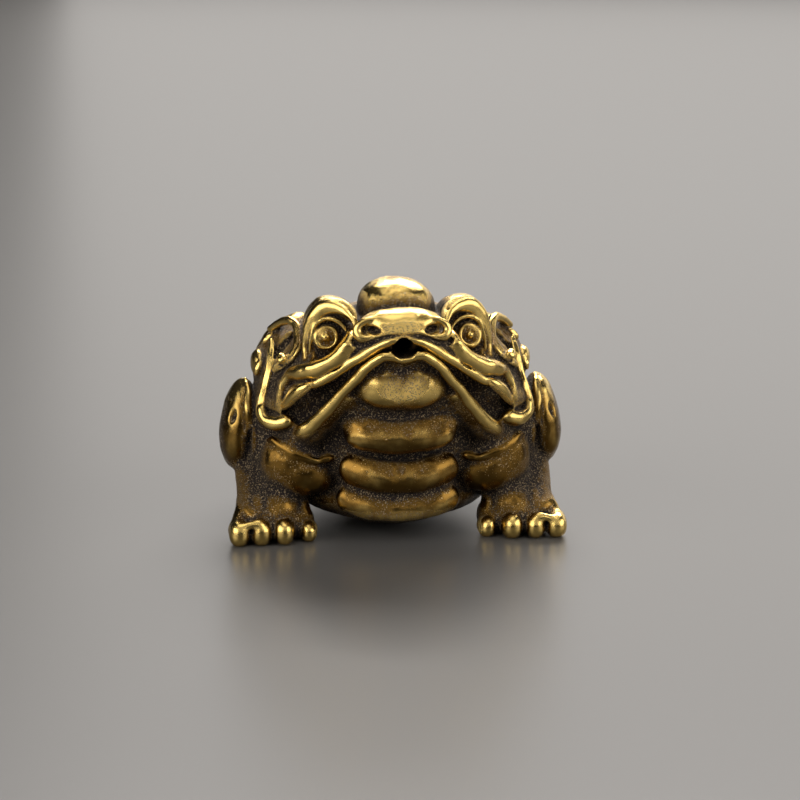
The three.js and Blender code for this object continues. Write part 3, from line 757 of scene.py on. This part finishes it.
wax += grain(**COARSE_GRAIN) + grain(**FINE_GRAIN)
floor_height = low[2] + PITCH * np.arange(wax.shape[2])
wax = np.maximum(wax, -floor_height.astype(np.float32))
grid = openvdb.FloatGrid(FAR)
grid.copyFromArray(np.ascontiguousarray(wax, np.float32))
points, quads = grid.convertToQuads(isovalue=0.0)
points = points * PITCH + low

toad_mesh = bpy.data.meshes.new("toad_casting")
toad_mesh.from_pydata(points * MM, [], quads)
toad = bpy.data.objects.new("toad_casting", toad_mesh)
bpy.context.collection.objects.link(toad)
thin = toad.modifiers.new("thin", "DECIMATE")
thin.ratio = FACES / (2 * len(quads))
bpy.context.view_layer.update()
thinned = bpy.data.meshes.new_from_object(toad.evaluated_get(bpy.context.evaluated_depsgraph_get()))
toad.modifiers.clear()
toad.data = thinned
toad.data.shade_smooth()

# Wear, patina and painted shade. How deep a place lies is the share of metal in the ball round it, less a
# half:
# above nought in a hollow and below it on a ridge. It is weighed over about 0.25 mm for a groove,
# 0.8 mm for a hollow and 1.7 mm for a basin, and each is kept as a number for each vertex, as is the
# blackening of patina and painted shade.
COARSER = 3  # cells in a cell of the coarser grid, on which the wider balls are worked out
COARSER_ROUNDS = 4
GROOVE_ROUNDS, HOLLOW_ROUNDS, BASIN_ROUNDS = 8, 8, 40
vertices = np.empty(len(toad.data.vertices) * 3, np.float32)
toad.data.vertices.foreach_get("co", vertices)
places = (vertices.reshape(-1, 3) / MM - low) / PITCH


def at_vertices(field, places):
    """The field's value at each place, weighted by nearness between its eight grid points."""
    first = np.clip(np.floor(places).astype(int), 0, np.array(field.shape) - 2)
    share = places - first
    total = 0
    for corner in np.ndindex(2, 2, 2):
        weight = np.prod(np.where(corner, share, 1 - share), axis=1)
        total = total + weight * field[tuple((first + corner).T)]
    return total


metal = np.clip(0.5 - wax / PITCH / 2, 0, 1)
coarse = soften(metal, COARSER_ROUNDS)[::COARSER, ::COARSER, ::COARSER]
for name, field, step in (
    ("soot_and_shade", soot_and_shade, 1),
    ("groove", soften(metal, GROOVE_ROUNDS) - 0.5, 1),
    ("hollow", soften(coarse, HOLLOW_ROUNDS) - 0.5, COARSER),
    ("basin", soften(coarse, BASIN_ROUNDS) - 0.5, COARSER),
):
    own = toad.data.attributes.new(name, "FLOAT", "POINT")
    own.data.foreach_set("value", at_vertices(field, places / step).astype(np.float32))

# Brass. Cast brass rubbed bright on the high places, with near-black patina left in the hollows
# and a sandy cast grain between. Hands have rubbed the upper half most, and painted shade leaves the
# lower half darker too; the belly's underside has near-black painted shade, and the patina has small glints
# of brass in it.
RUBBED = (0.8, 0.57, 0.18, 1)
# Dull brown: brass rubbed less in broad hollows, and painted shade lower down.
DULLED_AND_SHADED = (0.18, 0.1, 0.021, 1)
# Near black: patina in the hollows, and painted shade under the belly.
BLACKENED = (0.02, 0.015, 0.015, 1)
GLINT = (0.5, 0.37, 0.2, 1)
GRAIN_SIZE, CLOUD_SIZE = 0.15, 1.6  # millimetres
LAYER_SHARE = 0.6  # how much each finer layer of a noise counts over the one before
# Where each of these begins, and where it is full.
SAND_DEPTHS = (-0.1, 0.06)
PATINA_AND_SHADE_DEPTHS = (0.025, 0.08)
PIT_LEVELS = (0.45, 0.51)
DULL_AND_SHADED_DEPTHS = (-0.47, -0.2)
GLINT_LEVELS = (0.03, 0.16)
HANDLED_AND_SHADED_HEIGHTS = (10 * MM, 15 * MM)
HANDLED_AND_SHADED = 0.2  # how much shallower a dull place counts high up: rubbed by hands, and painted shade left darker lower down
METALLIC = (1.0, 0.6)  # of the bare brass, and of the patina and painted shade
ROUGHNESS = (0.2, 0.38)  # likewise
SAND_ROUGHNESS = 0.08  # added where the grain is sandy
BUMP_HEIGHT = 0.3 * MM
brass = bpy.data.materials.new("aged_brass")
brass.use_nodes = True
nodes, links = brass.node_tree.nodes, brass.node_tree.links
shader = nodes["Principled BSDF"]
coordinates = nodes.new("ShaderNodeTexCoord")


def value(socket_or_number, into):
    """Puts a number or a node's output into a socket."""
    if hasattr(socket_or_number, "links"):
        links.new(socket_or_number, into)
    else:
        into.default_value = socket_or_number


def math(kind, a, b):
    """What one step of arithmetic, such as ADD, makes of two numbers."""
    node = nodes.new("ShaderNodeMath")
    node.operation = kind
    value(a, node.inputs[0])
    value(b, node.inputs[1])
    return node.outputs[0]


def weighed(first, *others):
    """The first number plus each of the others times its weight."""
    for number, weight in others:
        first = math("ADD", first, math("MULTIPLY", number, weight))
    return first


def ramp(amount, low, high, start=0.0, end=1.0):
    """A number that goes from start to end as amount goes from low to high, eased at both ends."""
    node = nodes.new("ShaderNodeMapRange")
    node.interpolation_type = "SMOOTHSTEP"
    for socket, number in zip(node.inputs[1:5], (low, high, start, end)):
        socket.default_value = number
    value(amount, node.inputs[0])
    return node.outputs[0]


def speckle(size, detail=3.0):
    """Cloudy noise about 0 whose blotches are size millimetres across, with as many finer layers
    as detail says, each half as wide and counting less."""
    node = nodes.new("ShaderNodeTexNoise")
    node.inputs["Scale"].default_value = 1 / (size * MM)
    node.inputs["Detail"].default_value = detail
    node.inputs["Roughness"].default_value = LAYER_SHARE
    links.new(coordinates.outputs["Object"], node.inputs["Vector"])
    return math("SUBTRACT", node.outputs[0], 0.5)


def kept(name):
    """The number that each vertex keeps under a name."""
    node = nodes.new("ShaderNodeAttribute")
    node.attribute_name = name
    return node.outputs["Fac"]


def blend(amount, low, high):
    """The colour that goes from low to high as amount goes from 0 to 1."""
    node = nodes.new("ShaderNodeMix")
    node.data_type = "RGBA"
    value(amount, node.inputs[0])
    value(low, node.inputs[6])
    value(high, node.inputs[7])
    return node.outputs[2]


groove, hollow, basin, sooty_and_shaded = (kept(name) for name in ("groove", "hollow", "basin", "soot_and_shade"))
fine, grit, broad = speckle(GRAIN_SIZE), speckle(GRAIN_SIZE, detail=1.0), speckle(CLOUD_SIZE)
depth = weighed(groove, (hollow, 0.9))
sand = ramp(weighed(depth, (broad, 0.35), (sooty_and_shaded, 0.5)), *SAND_DEPTHS)
# Patina and painted shade: blackened by depth and grit, and by the field kept at each vertex, which also
# holds painted shade under the belly.
dirt_and_shade = weighed(depth, (grit, 0.65), (broad, 0.15), (sooty_and_shaded, 0.15))
pits = ramp(weighed(grit, (sand, 0.4)), *PIT_LEVELS)
patina_and_shade = math("MAXIMUM", ramp(dirt_and_shade, *PATINA_AND_SHADE_DEPTHS), pits)
height = nodes.new("ShaderNodeSeparateXYZ")
links.new(coordinates.outputs["Object"], height.inputs[0])
# Painted shade by height: from 10 mm up to 15 mm the brass counts as less dull, partly as rubbed by hands
# and partly as painted shade that darkens the lower half.
handled_and_shaded = ramp(height.outputs[2], *HANDLED_AND_SHADED_HEIGHTS, 0.0, HANDLED_AND_SHADED)
dull_and_shaded = ramp(weighed(basin, (depth, 0.7), (handled_and_shaded, -1.0), (broad, 0.3)), *DULL_AND_SHADED_DEPTHS)
bare = blend(dull_and_shaded, RUBBED, DULLED_AND_SHADED)
dark = blend(ramp(fine, *GLINT_LEVELS), BLACKENED, GLINT)
rough = weighed(ramp(patina_and_shade, 0.0, 1.0, *ROUGHNESS), (sand, SAND_ROUGHNESS))
relief = math("MULTIPLY", weighed(fine, (grit, -0.8)), weighed(0.1, (sand, 0.9)))
bump = nodes.new("ShaderNodeBump")
bump.inputs["Strength"].default_value = 1.0
bump.inputs["Distance"].default_value = BUMP_HEIGHT
links.new(relief, bump.inputs["Height"])
links.new(blend(patina_and_shade, bare, dark), shader.inputs["Base Color"])
links.new(ramp(patina_and_shade, 0.0, 1.0, *METALLIC), shader.inputs["Metallic"])
links.new(rough, shader.inputs["Roughness"])
links.new(bump.outputs[0], shader.inputs["Normal"])
toad.data.materials.clear()
toad.data.materials.append(brass)
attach(toad, "root")
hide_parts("toad")

# Floor. A plain pale floor with a dull sheen, wide enough to run out of the picture on every
# side. It isn't part of the toad.
FLOOR_REACH = 4.0  # metres
FLOOR_COLOUR = (0.1, 0.098, 0.095, 1)
FLOOR_ROUGHNESS = 0.32
corners = [(x * FLOOR_REACH, y * FLOOR_REACH, 0) for x, y in ((-1, -1), (1, -1), (1, 1), (-1, 1))]
floor_mesh = bpy.data.meshes.new("floor")
floor_mesh.from_pydata(corners, [], [(0, 1, 2, 3)])
floor = bpy.data.objects.new("floor", floor_mesh)
bpy.context.collection.objects.link(floor)
paper = bpy.data.materials.new("floor")
paper.use_nodes = True
paper.node_tree.nodes["Principled BSDF"].inputs["Base Color"].default_value = FLOOR_COLOUR
paper.node_tree.nodes["Principled BSDF"].inputs["Roughness"].default_value = FLOOR_ROUGHNESS
floor_mesh.materials.append(paper)

# Light and camera. A bright window high behind on the right, with a dim wall under it, soft boxes
# at both sides, in front and overhead, and a dark room. Sizes and distances are in millimetres
# and powers in watts.
CAMERA_AZIMUTH, CAMERA_ELEVATION = -6.0, 12.0
CAMERA_DISTANCE = 222
NEAREST = 10  # nothing nearer to the lens than this is drawn
LENS = 100
AIM = Vector((1.35, 0, 11.2)) * MM
LIGHTS = [
    dict(name="window", azimuth=164, elevation=45, distance=2180, size=(1700, 780), power=60),
    dict(name="backdrop", azimuth=149, elevation=14, distance=2180, size=(3000, 900), power=9.0),
    dict(name="left_box", azimuth=-60, elevation=24, distance=400, size=(400, 260), power=1.0),
    dict(name="right_box", azimuth=62, elevation=24, distance=400, size=(400, 260), power=0.85),
    dict(name="front_high", azimuth=0, elevation=46, distance=400, size=(420, 440), power=0.26),
    dict(name="overhead", azimuth=0, elevation=88, distance=400, size=(260, 260), power=0.35),
]
WARM = (1.0, 0.96, 0.92)
ROOM = 0.014


def direction(azimuth, elevation):
    """The unit vector at an azimuth, 0 towards -Y and 90 towards +X, and an elevation."""
    azimuth, elevation = np.radians([azimuth, elevation])
    level = np.cos(elevation)
    return Vector((np.sin(azimuth) * level, -np.cos(azimuth) * level, np.sin(elevation)))


for lamp in LIGHTS:
    light = bpy.data.lights.new(lamp["name"], "AREA")
    light.shape = "RECTANGLE"
    light.size, light.size_y = (side * MM for side in lamp["size"])
    light.energy = lamp["power"]
    light.color = WARM
    holder = bpy.data.objects.new(lamp["name"], light)
    holder.location = AIM + direction(lamp["azimuth"], lamp["elevation"]) * lamp["distance"] * MM
    holder.rotation_euler = (AIM - holder.location).to_track_quat("-Z", "Y").to_euler()
    bpy.context.collection.objects.link(holder)
room = bpy.data.worlds.new("room")
room.use_nodes = True
room.node_tree.nodes["Background"].inputs["Color"].default_value = (ROOM, ROOM, ROOM, 1)
bpy.context.scene.world = room
bpy.context.scene.view_settings.view_transform = "Standard"
back = direction(CAMERA_AZIMUTH, CAMERA_ELEVATION)
camera = bpy.data.objects.new("camera", bpy.data.cameras.new("camera"))
camera.data.lens = LENS
camera.data.clip_start = NEAREST * MM
camera.location = AIM + back * (CAMERA_DISTANCE * MM)
camera.rotation_euler = (-back).to_track_quat("-Z", "Y").to_euler()
bpy.context.collection.objects.link(camera)
bpy.context.scene.camera = camera
